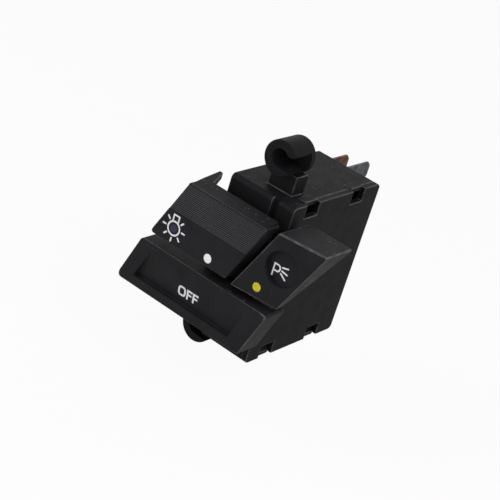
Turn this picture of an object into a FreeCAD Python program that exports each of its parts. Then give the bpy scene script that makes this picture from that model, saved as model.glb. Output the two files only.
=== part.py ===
"""Headlight switch: three push keys in front of a moulded housing that hangs from two open clips.

Lengths are in millimetres. X runs to the right, Y to the back and Z up. Every piece is drawn from
the lower left front corner of the OFF key and then placed so that the origin lies on the axis of
the upper clip, half way along its open stretch.
"""
import FreeCAD, Part
import Sketcher
import math
import os

SIZES = {
    # Keys. Their faces stand upright and lean to the right, so each outline is a parallelogram.
    "cap_plate": 2.0,
    "cap_wall": 1.6,
    "cap_depth": 6.4,
    "cap_round": 0.6,
    "off_width": 50.0,
    "off_height": 16.34,
    "off_lean": 5.65,
    "off_side_depth": 9.5,
    "off_dish_depth": 0.9,
    "off_dish_edge": 4.2,
    "off_dish_lip": 3.0,
    "key_row_gap": 3.37,
    "headlight_left": 7.93,
    "headlight_width": 30.29,
    "headlight_height": 21.03,
    "headlight_lean": 9.15,
    "claw_rise": 5.3,
    "claw_reach": 8.4,
    "claw_root": 5.6,
    "claw_thick": 1.4,
    "parking_left": 40.46,
    "parking_bottom": 19.0,
    "parking_width": 16.22,
    "parking_height": 22.32,
    "parking_lean": 9.97,
    "parking_turn": 0.12,
    "parking_plate": 4.0,
    "parking_roof_depth": 16.0,
    "parking_foot_depth": 4.6,
    "parking_dish_radius": 5.6,
    "parking_dish_x": 54.6,
    "parking_dish_z": 31.4,
    "parking_dish_depth": 1.1,
    "dot_radius": 1.49,
    "dot_length": 1.6,
    "white_dot_x": 30.5,
    "white_dot_z": 22.2,
    "yellow_dot_x": 48.7,
    "yellow_dot_z": 22.4,
    # Movement.
    "press_travel": 2.8,
    "stop_gap": 0.4,
    "slide_gap": 0.3,
    # Housing and its side cover.
    "body_left": 24.0,
    "body_width": 24.17,
    "body_depth": 46.3,
    "body_bottom": -7.5,
    "body_height": 53.5,
    "body_wall": 2.0,
    "body_round": 1.6,
    "cover_thick": 2.2,
    "cover_lip_width": 5.7,
    "cover_lip_depth": 1.2,
    "cover_lip_bottom": 33.0,
    "lip_notch": 2.5,
    "foot_step_width": 6.0,
    "foot_step_height": 12.1,
    "window_width": 6.6,
    "window_depth": 4.4,
    "window_front": 6.6,
    "window_rear": 31.0,
    "tongue_thick": 1.0,
    "tongue_gap": 0.2,
    # Open clips that grip a rod along Y.
    "clip_radius": 5.6,
    "clip_bore": 2.8,
    "clip_length": 10.5,
    "clip_web": 2.0,
    "clip_mouth": 2.9,
    "upper_clip_x": 37.0,
    "upper_clip_rise": 10.8,
    "upper_clip_front": 1.7,
    "lower_clip_x": 27.2,
    "lower_clip_drop": 10.4,
    "lower_clip_front": 0.6,
    "clip_post": 9.6,
    # Sliders, one behind each key.
    "slider_end": 34.0,
    "head_thick": 2.0,
    "headlight_slider_x": 31.0,
    "headlight_slider_z": 25.0,
    "headlight_slider_width": 7.0,
    "headlight_slider_height": 8.0,
    "parking_slider_x": 43.3,
    "parking_slider_z": 20.9,
    "parking_slider_width": 2.3,
    "parking_slider_height": 4.2,
    "parking_head_width": 9.0,
    "off_slider_x": 32.6,
    "off_slider_z": 4.0,
    "off_slider_width": 10.0,
    "off_slider_height": 5.0,
    # Return springs.
    "spring_wire": 0.4,
    "spring_radius": 1.1,
    "spring_length": 10.85,
    "spring_gap": 0.15,
    "spring_pitch": 1.4,
    "spring_post_length": 3.0,
    "spring_post_radius": 0.8,
    # Latch bar, raised by a ramp on the OFF slider.
    "latch_left": 26.5,
    "latch_thick": 1.2,
    "latch_front": 20.0,
    "latch_width": 5.0,
    "latch_top": 38.0,
    "latch_foot": 13.4,
    "latch_slope": 0.5,
    "latch_tooth": 1.6,
    # Wiping contacts.
    "contact_thick": 0.5,
    "contact_width": 3.0,
    "contact_length": 9.0,
    # Blade terminals in the rear wall.
    "blade_height": 6.3,
    "blade_thick": 0.8,
    "blade_tail": 4.0,
    "blade_tip": 1.4,
    "blade_inner": 5.0,
    "blade_outer": 14.0,
    "blade_short": 3.4,
    "blade_top": 45.0,
    "blade_pitch": 11.0,
    "blade_column_a": 28.2,
    "blade_column_b": 34.4,
}
TERMINAL_ROWS = 4


class Size:
    """A length that carries its formula, so that a feature can be bound to the sheet."""

    def __init__(self, value, formula):
        self.value = value
        self.formula = formula

    def joined(self, other, sign, value):
        text = other.formula if isinstance(other, Size) else repr(float(other))
        return Size(value, "(%s %s %s)" % (self.formula, sign, text))

    def __add__(self, other):
        return self.joined(other, "+", self.value + number(other))

    def __sub__(self, other):
        return self.joined(other, "-", self.value - number(other))

    def __mul__(self, other):
        return self.joined(other, "*", self.value * number(other))

    def __truediv__(self, other):
        return self.joined(other, "/", self.value / number(other))

    def __neg__(self):
        return Size(-self.value, "(0 - %s)" % self.formula)


def number(length):
    return length.value if isinstance(length, Size) else float(length)


def text_of(length):
    return length.formula if isinstance(length, Size) else repr(float(length))


class Sheet:
    """The spreadsheet of driving sizes: one row each, read back as Size values."""

    def __init__(self, document):
        self.cells = document.addObject("Spreadsheet::Sheet", "Sizes")
        for row, (alias, value) in enumerate(SIZES.items(), start=1):
            self.cells.set("A%d" % row, alias)
            self.cells.set("B%d" % row, repr(value))
            self.cells.setAlias("B%d" % row, alias)

    def __getattr__(self, alias):
        return Size(SIZES[alias], "Sizes." + alias)


doc = FreeCAD.newDocument("HeadlightSwitch")
s = Sheet(doc)
doc.recompute()
ZERO = Size(0.0, "0.0")

# Places that several pieces share.
body_front = s.cap_depth + s.press_travel + s.stop_gap
body_rear = body_front + s.body_depth
body_right = s.body_left + s.body_width
body_top = s.body_bottom + s.body_height
cover_left = body_right - s.cover_thick
headlight_bottom = s.off_height + s.key_row_gap
upper_clip_z = body_top + s.upper_clip_rise
upper_clip_y = body_front + s.upper_clip_front
clip_open = s.clip_length - s.clip_web
lower_clip_z = s.body_bottom + s.foot_step_height - s.lower_clip_drop
lower_clip_y = body_front + s.lower_clip_front
spring_front = s.slider_end + s.spring_gap


def new_body(name):
    """A body whose frame is moved so that the upper clip's axis passes through the origin."""
    body = doc.addObject("PartDesign::Body", name)
    body.Label = name
    body.setExpression(".Placement.Base.x", text_of(-s.upper_clip_x))
    body.setExpression(".Placement.Base.y", text_of(-(upper_clip_y + clip_open / 2)))
    body.setExpression(".Placement.Base.z", text_of(-upper_clip_z))
    return body


def plane_of(body, plane):
    for feature in body.Origin.OriginFeatures:
        if feature.Role == plane + "_Plane":
            return feature
    raise ValueError(plane)


def sketch_on(body, plane, start):
    """An empty sketch that lies at start along the plane's own axis."""
    sketch = body.newObject("Sketcher::SketchObject", body.Label + "_sketch")
    sketch.AttachmentSupport = (plane_of(body, plane), [""])
    sketch.MapMode = "FlatFace"
    offset = -start if plane == "XZ" else start
    sketch.setExpression(".AttachmentOffset.Base.z", text_of(offset))
    return sketch


def pin(sketch, element, point, place):
    """Ties one point of the sketch to its two coordinates."""
    for kind, length in (("DistanceX", place[0]), ("DistanceY", place[1])):
        index = sketch.addConstraint(Sketcher.Constraint(kind, -1, 1, element, point, number(length)))
        sketch.setExpression("Constraints[%d]" % index, text_of(length))


def draw_outline(sketch, corners):
    """A closed outline of straight sides through the corners."""
    places = [FreeCAD.Vector(number(a), number(b), 0) for a, b in corners]
    count = len(places)
    for i in range(count):
        sketch.addGeometry(Part.LineSegment(places[i], places[(i + 1) % count]), False)
    for i in range(count):
        sketch.addConstraint(Sketcher.Constraint("Coincident", i, 2, (i + 1) % count, 1))
    for i, corner in enumerate(corners):
        pin(sketch, i, 1, corner)


def draw_circle(sketch, centre, radius):
    middle = FreeCAD.Vector(number(centre[0]), number(centre[1]), 0)
    circle = sketch.addGeometry(Part.Circle(middle, FreeCAD.Vector(0, 0, 1), number(radius)), False)
    pin(sketch, circle, 3, centre)
    index = sketch.addConstraint(Sketcher.Constraint("Radius", circle, number(radius)))
    sketch.setExpression("Constraints[%d]" % index, text_of(radius))


def add(body, plane, start, length, corners=None, circle=None):
    """Adds a prism or a cylinder that starts at start and runs for length along the axis."""
    sketch = sketch_on(body, plane, start)
    if corners:
        draw_outline(sketch, corners)
    if circle:
        draw_circle(sketch, *circle)
    pad = body.newObject("PartDesign::Pad", body.Label + "_pad")
    pad.Profile = sketch
    pad.Reversed = plane == "XZ"
    pad.setExpression("Length", text_of(length))
    doc.recompute()
    return pad


def cut(body, plane, start, length, corners=None, circle=None):
    """Takes a prism or a cylinder away and makes sure that it met the solid."""
    before = body.Tip.Shape.Volume
    sketch = sketch_on(body, plane, start)
    if corners:
        draw_outline(sketch, corners)
    if circle:
        draw_circle(sketch, *circle)
    pocket = body.newObject("PartDesign::Pocket", body.Label + "_pocket")
    pocket.Profile = sketch
    pocket.Reversed = plane != "XZ"
    pocket.setExpression("Length", text_of(length))
    doc.recompute()
    if body.Tip.Shape.Volume > before - 1e-6:
        raise RuntimeError("a cut in %s takes nothing away" % body.Label)
    return pocket


def round_edges(body, radius, chosen):
    """Rounds the edges of the body's last shape that chosen accepts."""
    base = body.Tip
    names = ["Edge%d" % (i + 1) for i, edge in enumerate(base.Shape.Edges) if chosen(edge)]
    fillet = body.newObject("PartDesign::Fillet", body.Label + "_fillet")
    fillet.Base = (base, names)
    fillet.setExpression("Radius", text_of(radius))
    doc.recompute()
    return fillet


def rectangle(low_a, high_a, low_b, high_b):
    return [(low_a, low_b), (high_a, low_b), (high_a, high_b), (low_a, high_b)]


def parallelogram(left, bottom, width, height, lean, inset=ZERO):
    """A leaning outline; inset moves its four sides inwards."""
    corners = []
    for rise in (inset, height - inset):
        shift = lean * rise / height
        corners.append((left + shift + inset, bottom + rise))
        corners.append((left + width + shift - inset, bottom + rise))
    return [corners[0], corners[1], corners[3], corners[2]]


def on_front(edge, depth=0.01):
    return edge.BoundBox.YMax < depth


def make_off_cap():
    body = new_body("off_cap")
    outline = (ZERO, ZERO, s.off_width, s.off_height, s.off_lean)
    add(body, "XZ", ZERO, s.off_side_depth, parallelogram(*outline))
    round_edges(body, s.cap_round, on_front)
    cut(body, "XZ", s.cap_plate, s.off_side_depth, parallelogram(*outline, inset=s.cap_wall))
    between = rectangle(
        s.lower_clip_x - s.clip_radius - s.slide_gap,
        body_right + s.slide_gap,
        s.body_bottom,
        headlight_bottom,
    )
    cut(body, "XZ", s.cap_depth, s.off_side_depth, between)
    dish = parallelogram(
        s.off_dish_edge,
        ZERO,
        s.off_width - s.off_dish_edge * 2,
        s.off_height,
        s.off_lean,
        inset=s.off_dish_lip,
    )
    cut(body, "XZ", ZERO, s.off_dish_depth, dish)
    return body


def make_headlight_cap():
    body = new_body("headlight_cap")
    outline = (s.headlight_left, headlight_bottom, s.headlight_width, s.headlight_height, s.headlight_lean)
    add(body, "XZ", ZERO, s.cap_depth, parallelogram(*outline))
    round_edges(body, s.cap_round, on_front)
    cut(body, "XZ", s.cap_plate, s.cap_depth, parallelogram(*outline, inset=s.cap_wall))
    crest = headlight_bottom + s.headlight_height
    claw = [
        (s.cap_round, crest - s.cap_wall),
        (s.claw_root, crest - s.cap_wall),
        (s.claw_root, crest + s.claw_rise / 6),
        (s.claw_reach, crest + s.claw_rise),
        (s.claw_reach - s.cap_plate, crest + s.claw_rise),
        (s.cap_round, crest - s.cap_round),
    ]
    add(body, "YZ", s.headlight_left + s.headlight_lean, s.claw_thick, claw)
    cut(
        body,
        "XZ",
        ZERO,
        s.cap_plate,
        circle=((s.white_dot_x, s.white_dot_z), s.dot_radius),
    )
    return body


def make_parking_cap():
    body = new_body("parking_cap")
    outline = (s.parking_left, s.parking_bottom, s.parking_width, s.parking_height, s.parking_lean)
    add(body, "XZ", ZERO, s.parking_roof_depth, parallelogram(*outline))
    right = s.parking_left + s.parking_width + s.parking_lean + s.cap_wall
    turned = (right - s.parking_left) * s.parking_turn
    front_cut = [(s.parking_left, -s.cap_wall), (right, -s.cap_wall), (right, turned), (s.parking_left, ZERO)]
    cut(body, "XY", s.parking_bottom - s.cap_wall, s.parking_height * 2, front_cut)
    crest = s.parking_bottom + s.parking_height
    far = s.parking_roof_depth + s.cap_wall
    back_cut = [
        (s.parking_foot_depth, s.parking_bottom - s.cap_wall),
        (far, s.parking_bottom - s.cap_wall),
        (far, crest - s.cap_wall),
        (s.parking_roof_depth, crest - s.cap_wall),
        (s.parking_foot_depth, s.parking_bottom),
    ]
    cut(body, "YZ", s.parking_left - s.cap_wall, s.parking_width * 3, back_cut)
    beside_body = rectangle(s.parking_left - s.cap_wall, body_right + s.slide_gap, s.body_bottom, body_top)
    cut(body, "XZ", s.parking_plate, s.parking_roof_depth, beside_body)
    cut(body, "XZ", s.parking_plate, s.parking_roof_depth, parallelogram(*outline, inset=s.cap_wall))
    dish = ((s.parking_dish_x, s.parking_dish_z), s.parking_dish_radius)
    dish_floor = (s.parking_dish_x - s.parking_left) * s.parking_turn + s.parking_dish_depth
    cut(body, "XZ", ZERO, dish_floor, circle=dish)
    cut(body, "XZ", ZERO, s.parking_plate, circle=((s.yellow_dot_x, s.yellow_dot_z), s.dot_radius))
    return body


def make_indicator(name, x, z, start):
    body = new_body(name)
    add(body, "XZ", start, s.dot_length, circle=((x, z), s.dot_radius))
    return body


def slot_for(body, x, z, width, height, gap):
    """A slot through the front wall for one slider."""
    corners = rectangle(x - gap, x + width + gap, z - gap, z + height + gap)
    return cut(body, "XZ", body_front - s.cap_depth, s.cap_depth * 2, corners)


def clip_on(body, x, y, z, post_end):
    """A ring that grips a rod along Y, open to the right, with a post to the wall that carries it."""
    add(body, "XZ", y, s.clip_length, circle=((x, z), s.clip_radius))
    if number(post_end) < number(z):
        post = rectangle(x - s.clip_post / 2, x + s.clip_post / 2, post_end, z - s.clip_bore)
    else:
        post = rectangle(x - s.clip_post / 2, x + s.clip_post / 2, z + s.clip_bore, post_end)
    add(body, "XZ", y, s.clip_length, post)
    cut(body, "XZ", y, clip_open, circle=((x, z), s.clip_bore))
    mouth = [
        (x, z - s.clip_bore / 3),
        (x + s.clip_radius * 2, z - s.clip_mouth),
        (x + s.clip_radius * 2, z + s.clip_mouth),
        (x, z + s.clip_bore / 3),
    ]
    cut(body, "XZ", y, clip_open, mouth)


def make_housing():
    body = new_body("housing")
    inner = s.body_wall
    shell = rectangle(body_front, body_rear, s.body_bottom, body_top)
    add(body, "YZ", s.body_left, s.body_width - s.cover_thick, shell)

    def long_corner(edge):
        box = edge.BoundBox
        return box.XLength > 5 and box.YLength < 0.01 and box.ZLength < 0.01

    round_edges(body, s.body_round, long_corner)
    foot = rectangle(s.body_left, s.body_left + s.foot_step_width, s.body_bottom, s.body_bottom + s.foot_step_height)
    cut(body, "XZ", ZERO, s.body_depth * 2, foot)
    cavity = rectangle(
        body_front + inner,
        body_rear - inner,
        s.body_bottom + inner,
        body_top - inner,
    )
    cut(body, "YZ", s.body_left + s.foot_step_width + inner, s.body_width, cavity)
    upper_cavity = rectangle(
        body_front + inner,
        body_rear - inner,
        s.body_bottom + s.foot_step_height + inner,
        body_top - inner,
    )
    cut(body, "YZ", s.body_left + inner, s.foot_step_width + inner, upper_cavity)
    lip_start = body_right - s.cover_lip_width - s.lip_notch
    lip_room = rectangle(lip_start, body_right, s.cover_lip_bottom - s.tongue_gap, body_top + inner)
    cut(body, "XZ", ZERO, body_front + s.cover_lip_depth, lip_room)
    slot_for(body, s.headlight_slider_x, s.headlight_slider_z, s.headlight_slider_width,
             s.headlight_slider_height, s.slide_gap)
    slot_for(body, s.parking_slider_x, s.parking_slider_z, s.parking_slider_width,
             s.parking_slider_height, s.slide_gap)
    slot_for(body, s.off_slider_x, s.off_slider_z, s.off_slider_width, s.off_slider_height, s.slide_gap)
    for x, top in terminal_places():
        low = top - (s.blade_height + s.blade_tail) / 2
        slot = rectangle(x, x + s.blade_thick, low, low + s.blade_tail)
        cut(body, "XZ", body_rear - inner * 2, inner * 3, slot)
    clip_on(body, s.upper_clip_x, upper_clip_y, upper_clip_z, body_top)
    clip_on(body, s.lower_clip_x, lower_clip_y, lower_clip_z, s.body_bottom + s.foot_step_height)
    for start in (s.window_front, s.window_rear):
        for face, rise in ((body_top, s.tongue_thick), (s.body_bottom, -s.tongue_thick)):
            tongue = [
                (body_front + start + s.tongue_gap, face - rise),
                (body_front + start + s.window_width - s.tongue_gap, face - rise),
                (body_front + start + s.window_width - s.tongue_gap, face + rise * 0.4),
                (body_front + start + s.tongue_gap, face + rise * 0.4),
            ]
            add(body, "YZ", cover_left - inner, inner + s.tongue_thick, tongue)
    return body


def terminal_places():
    """Left side and top of each blade, column by column from the top down."""
    places = []
    for column in (s.blade_column_a, s.blade_column_b):
        for row in range(TERMINAL_ROWS):
            places.append((column, s.blade_top - s.blade_pitch * row))
    return places


def make_side_cover():
    """The right wall, with a lip that turns round the upper front corner."""
    body = new_body("side_cover")
    lip_left = body_right - s.cover_lip_width
    whole = rectangle(body_front, body_rear, s.body_bottom, body_top)
    add(body, "YZ", lip_left, s.cover_lip_width, whole)

    def long_corner(edge):
        box = edge.BoundBox
        return box.XLength > 1 and box.YLength < 0.01 and box.ZLength < 0.01

    round_edges(body, s.body_round, long_corner)
    behind_lip = rectangle(
        body_front + s.cover_lip_depth,
        body_rear + s.cover_thick,
        s.body_bottom - s.cover_thick,
        body_top + s.cover_thick,
    )
    cut(body, "YZ", lip_left, s.cover_lip_width - s.cover_thick, behind_lip)
    below_lip = rectangle(
        body_front - s.cover_thick,
        body_rear,
        s.body_bottom - s.cover_thick,
        s.cover_lip_bottom,
    )
    cut(body, "YZ", lip_left, s.cover_lip_width - s.cover_thick, below_lip)
    for start in (s.window_front, s.window_rear):
        for low, high in (
            (body_top - s.window_depth, body_top + s.tongue_thick),
            (s.body_bottom - s.tongue_thick, s.body_bottom + s.window_depth),
        ):
            window = rectangle(body_front + start, body_front + start + s.window_width, low, high)
            cut(body, "YZ", cover_left, s.cover_thick, window)
    return body


def make_headlight_slider():
    body = new_body("headlight_slider")
    x, z = s.headlight_slider_x, s.headlight_slider_z
    stem = rectangle(x, x + s.headlight_slider_width, z, z + s.headlight_slider_height)
    add(body, "XZ", s.cap_plate, s.slider_end - s.cap_plate, stem)
    groove = rectangle(
        x, x + s.latch_tooth, z + s.latch_tooth, z + s.headlight_slider_height - s.latch_tooth
    )
    cut(body, "XZ", s.cap_plate, s.slider_end, groove)
    pin_place = (x + s.headlight_slider_width / 2, z + s.headlight_slider_height / 2)
    add(body, "XZ", s.slider_end, s.spring_post_length, circle=(pin_place, s.spring_post_radius))
    return body


def make_parking_slider():
    body = new_body("parking_slider")
    x, z = s.parking_slider_x, s.parking_slider_z
    head = rectangle(x, x + s.parking_head_width, z, z + s.parking_slider_height)
    add(body, "XZ", s.parking_plate, s.head_thick, head)
    stem = rectangle(x, x + s.parking_slider_width, z, z + s.parking_slider_height)
    add(body, "XZ", s.parking_plate, s.slider_end - s.parking_plate, stem)
    pin_place = (x + s.parking_slider_width / 2, z + s.parking_slider_height / 2)
    add(body, "XZ", s.slider_end, s.spring_post_length, circle=(pin_place, s.spring_post_radius))
    return body


def latch_ramp(y):
    """Height of the ramp that lifts the latch bar, at the place y along the slider."""
    return s.latch_foot - s.slide_gap - (y - s.latch_front) * s.latch_slope


def make_off_slider():
    body = new_body("off_slider")
    x, z = s.off_slider_x + s.slide_gap, s.off_slider_z
    stem = rectangle(s.off_slider_x, s.off_slider_x + s.off_slider_width, z, z + s.off_slider_height)
    add(body, "XZ", s.cap_plate, s.slider_end - s.cap_plate, stem)
    front = s.latch_front - s.press_travel - s.slide_gap
    back = s.latch_front + s.latch_width
    ramp = [
        (front, z),
        (back, z),
        (back, latch_ramp(back)),
        (front, latch_ramp(front)),
    ]
    add(body, "YZ", x + s.latch_thick * 3, s.latch_thick, ramp)
    pin_place = (s.off_slider_x + s.off_slider_width / 2, z + s.off_slider_height / 2)
    add(body, "XZ", s.slider_end, s.spring_post_length, circle=(pin_place, s.spring_post_radius))
    return body


def make_latch_bar():
    """An upright strip with a foot over the ramp and a tooth in the headlight slider's groove."""
    body = new_body("latch_bar")
    back = s.latch_front + s.latch_width
    bottom = s.latch_foot + s.headlight_slider_height / 3
    add(body, "YZ", s.latch_left, s.latch_thick, rectangle(s.latch_front, back, bottom, s.latch_top))
    foot = [
        (s.latch_front, s.latch_foot),
        (back, s.latch_foot - s.latch_width * s.latch_slope),
        (back, bottom + s.latch_thick),
        (s.latch_front, bottom + s.latch_thick),
    ]
    reach = s.off_slider_x + s.slide_gap + s.latch_thick * 4 - s.latch_left
    add(body, "YZ", s.latch_left, reach, foot)
    tooth_z = s.headlight_slider_z + s.latch_tooth + s.slide_gap
    tooth = rectangle(s.latch_front, s.latch_front + s.latch_tooth, tooth_z, tooth_z + s.latch_tooth)
    tooth_reach = s.headlight_slider_x + s.latch_tooth - s.slide_gap - s.latch_left
    add(body, "YZ", s.latch_left, tooth_reach, tooth)
    return body


def make_spring(name, x, y, z, length, axis):
    """A closed coil of round wire that starts at x, y, z and runs along axis."""
    radius = number(s.spring_radius)
    wire = number(s.spring_wire) / 2
    coil = Part.makeHelix(number(s.spring_pitch), number(length) - 2 * wire, radius)
    profile = Part.Wire([Part.makeCircle(wire, FreeCAD.Vector(radius, 0, 0), FreeCAD.Vector(0, 1, 0))])
    solid = Part.Wire(coil.Edges).makePipeShell([profile], True, True)
    solid.translate(FreeCAD.Vector(0, 0, wire))
    feature = doc.addObject("Part::Feature", name)
    feature.Label = name
    feature.Shape = solid
    place = FreeCAD.Vector(
        number(x - s.upper_clip_x),
        number(y - upper_clip_y - clip_open / 2),
        number(z - upper_clip_z),
    )
    turn = FreeCAD.Rotation(FreeCAD.Vector(0, 0, 1), axis)
    feature.Placement = FreeCAD.Placement(place, turn)
    return feature


def make_springs():
    back = FreeCAD.Vector(0, 1, 0)
    made = []
    for name, x, z, width, height in (
        ("headlight_spring", s.headlight_slider_x, s.headlight_slider_z,
         s.headlight_slider_width, s.headlight_slider_height),
        ("parking_spring", s.parking_slider_x, s.parking_slider_z,
         s.parking_slider_width, s.parking_slider_height),
        ("off_spring", s.off_slider_x, s.off_slider_z, s.off_slider_width, s.off_slider_height),
    ):
        made.append(make_spring(name, x + width / 2, spring_front, z + height / 2, s.spring_length, back))
    middle = s.latch_front + s.latch_width / 2
    room = body_top - s.body_wall - s.latch_top
    across = s.latch_left + s.spring_radius + s.spring_wire
    made.append(make_spring("latch_spring", across, middle, s.latch_top, room, FreeCAD.Vector(0, 0, 1)))
    return made


def make_spring_seats(housing):
    """Blocks on the housing's left wall that the three return springs push against."""
    start = spring_front + s.spring_length
    for x, z, width, height, left in (
        (s.headlight_slider_x, s.headlight_slider_z, s.headlight_slider_width,
         s.headlight_slider_height, s.body_left),
        (s.parking_slider_x, s.parking_slider_z, s.parking_slider_width,
         s.parking_slider_height, s.body_left),
        (s.off_slider_x, s.off_slider_z, s.off_slider_width, s.off_slider_height,
         s.body_left + s.foot_step_width),
    ):
        reach = x + width / 2 + s.spring_radius + s.spring_wire - left
        block = rectangle(start, start + s.body_wall, z, z + height)
        add(housing, "YZ", left, reach, block)


def make_contact(name, x, z, width):
    """A bent strip on the end of a slider that wipes along two blade tails."""
    body = new_body(name)
    start = s.slider_end - s.contact_length
    strip = rectangle(x, x + width, z, z + s.contact_thick)
    add(body, "XZ", start, s.contact_length, strip)
    finger = [
        (start, z + s.contact_thick),
        (start + s.contact_width, z + s.contact_thick),
        (start + s.contact_width / 2, z + s.contact_width),
        (start + s.contact_width / 2 - s.contact_thick, z + s.contact_width),
    ]
    add(body, "YZ", x, width, finger)
    return body


def make_terminal(index, x, top):
    """A stamped blade: a narrow tail through the wall and a full blade with a bevelled tip outside."""
    body = new_body("terminal_%d" % index)
    short = s.blade_short if index <= TERMINAL_ROWS else ZERO
    tip = body_rear + s.blade_outer - short
    low = top - s.blade_height
    tail_low = top - (s.blade_height + s.blade_tail) / 2
    outline = [
        (body_rear - s.body_wall - s.blade_inner, tail_low),
        (body_rear, tail_low),
        (body_rear, low),
        (tip - s.blade_tip, low),
        (tip, low + s.blade_tip),
        (tip, top - s.blade_tip),
        (tip - s.blade_tip, top),
        (body_rear, top),
        (body_rear, tail_low + s.blade_tail),
        (body_rear - s.body_wall - s.blade_inner, tail_low + s.blade_tail),
    ]
    add(body, "YZ", x, s.blade_thick, outline)
    return body


def build():
    housing = make_housing()
    make_spring_seats(housing)
    pieces = [
        housing,
        make_side_cover(),
        make_off_cap(),
        make_headlight_cap(),
        make_parking_cap(),
        make_indicator("white_indicator", s.white_dot_x, s.white_dot_z, ZERO),
        make_indicator(
            "yellow_indicator",
            s.yellow_dot_x,
            s.yellow_dot_z,
            (s.yellow_dot_x - s.parking_left) * s.parking_turn,
        ),
        make_headlight_slider(),
        make_parking_slider(),
        make_off_slider(),
        make_latch_bar(),
        make_contact(
            "headlight_contact",
            s.headlight_slider_x + s.latch_tooth,
            s.headlight_slider_z + s.headlight_slider_height,
            s.headlight_slider_width - s.latch_tooth,
        ),
        make_contact(
            "parking_contact",
            s.parking_slider_x,
            s.parking_slider_z + s.parking_slider_height,
            s.parking_slider_width,
        ),
    ]
    for index, (x, top) in enumerate(terminal_places(), start=1):
        pieces.append(make_terminal(index, x, top))
    return pieces + make_springs()


def check_and_write(pieces):
    doc.recompute()
    for thing in doc.Objects:
        if "Invalid" in thing.State or "Error" in thing.State:
            raise RuntimeError("%s failed" % thing.Label)
    os.makedirs("parts", exist_ok=True)
    for piece in pieces:
        if piece.Shape.isNull() or not piece.Shape.isValid():
            raise RuntimeError("%s has no valid shape" % piece.Label)
    for piece in pieces:
        piece.Shape.exportStep("parts/%s.step" % piece.Label)
        print("%-20s %d solid(s) %9.2f mm3" % (piece.Label, len(piece.Shape.Solids), piece.Shape.Volume))


check_and_write(build())
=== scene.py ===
"""A headlight switch with three push keys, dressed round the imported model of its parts."""

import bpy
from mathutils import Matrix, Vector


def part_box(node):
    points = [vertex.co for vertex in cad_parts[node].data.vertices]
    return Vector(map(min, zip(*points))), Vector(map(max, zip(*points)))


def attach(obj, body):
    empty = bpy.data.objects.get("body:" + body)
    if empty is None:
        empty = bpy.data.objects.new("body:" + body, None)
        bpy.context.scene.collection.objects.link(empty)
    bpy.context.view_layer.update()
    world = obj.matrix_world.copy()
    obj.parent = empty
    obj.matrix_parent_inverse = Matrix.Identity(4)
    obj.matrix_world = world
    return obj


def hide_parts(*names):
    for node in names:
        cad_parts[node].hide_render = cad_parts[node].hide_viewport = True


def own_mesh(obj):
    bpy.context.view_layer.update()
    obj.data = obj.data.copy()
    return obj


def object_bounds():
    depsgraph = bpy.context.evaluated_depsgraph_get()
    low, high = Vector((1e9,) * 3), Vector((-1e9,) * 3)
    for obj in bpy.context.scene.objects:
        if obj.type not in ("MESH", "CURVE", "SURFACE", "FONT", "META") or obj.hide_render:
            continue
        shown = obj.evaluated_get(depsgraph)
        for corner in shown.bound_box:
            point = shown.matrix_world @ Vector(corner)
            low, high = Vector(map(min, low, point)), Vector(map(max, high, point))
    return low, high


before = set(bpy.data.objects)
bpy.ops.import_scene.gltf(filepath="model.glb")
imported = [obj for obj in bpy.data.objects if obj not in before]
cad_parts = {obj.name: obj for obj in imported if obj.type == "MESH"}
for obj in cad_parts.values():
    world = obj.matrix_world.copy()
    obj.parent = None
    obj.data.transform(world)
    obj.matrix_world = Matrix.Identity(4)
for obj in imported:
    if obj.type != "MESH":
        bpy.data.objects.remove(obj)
cad_box = [list(corner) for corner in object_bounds()]

import math
from contextlib import contextmanager

import bmesh
import bpy
from bpy.props import FloatProperty, FloatVectorProperty, IntProperty, PointerProperty
from mathutils import Matrix, Vector
from mathutils.bvhtree import BVHTree
from mathutils.geometry import intersect_point_line

bl_info = {
    "name": "Headlight Switch",
    "version": (1, 0, 0),
    "blender": (4, 5, 0),
    "location": "View3D > Sidebar > Switch",
    "description": "Builds the looks of a three key headlight switch",
    "category": "Object",
}

MM = 0.001
# The switch is measured in millimetres from the lower left front corner of its OFF key.
# This is the centre of the upper clip in those measures, and the origin of every object.
CLIP_CENTRE = Vector((37.0, 15.55, 56.8))
# The clips from the front: their centres across and up, and the radii of ring and bore.
UPPER_CLIP, LOWER_CLIP = (37.0, 56.8), (27.2, -5.8)
CLIP_RADIUS, BORE_RADIUS = 5.6, 2.85
# The headlight key from the front. Its ends lean to the right as they go up.
HEADLIGHT_LEFT, HEADLIGHT_BOTTOM = 7.93, 19.71
HEADLIGHT_WIDTH, HEADLIGHT_HEIGHT, HEADLIGHT_SHIFT = 30.29, 21.03, 9.15
HEADLIGHT_LEAN = HEADLIGHT_SHIFT / HEADLIGHT_HEIGHT
WHITE_LENS, YELLOW_LENS = (30.5, 22.2), (48.7, 22.4)
GROOVE_START, GROOVE_PITCH, GROOVES = 30.0, 0.6, 17
GROOVE_END = GROOVE_START + GROOVE_PITCH * GROOVES
# In metres: the spring whose turns are counted.
COUNTED_SPRING = 0.0108
# Points closer than MERGE are one point, and faces that turn less than FLAT are one face.
MERGE, FLAT = 2e-6, math.radians(0.6)
# Edges that turn more than SHARP are rounded. What still turns more than CORNER shades sharp.
SHARP, CORNER = math.radians(32.0), math.radians(46.0)
# The least width in metres that a rounded edge is made with, and how often the rounding is tried.
LEAST_ROUNDING, TRIES = 0.03 * MM, 7


def place(x, y, z):
    """A point in metres from a place measured in millimetres on the switch."""
    return (Vector((x, y, z)) - CLIP_CENTRE) * MM


def on_switch(point):
    """A place in millimetres on the switch from a point in metres."""
    return point / MM + CLIP_CENTRE


def shade(red, green, blue):
    """A colour as Blender wants it from the numbers that a picture program shows."""
    linear = []
    for value in (red, green, blue):
        value = value / 255
        linear.append(value / 12.92 if value <= 0.04045 else ((value + 0.055) / 1.055) ** 2.4)
    return (*linear, 1.0)


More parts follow.
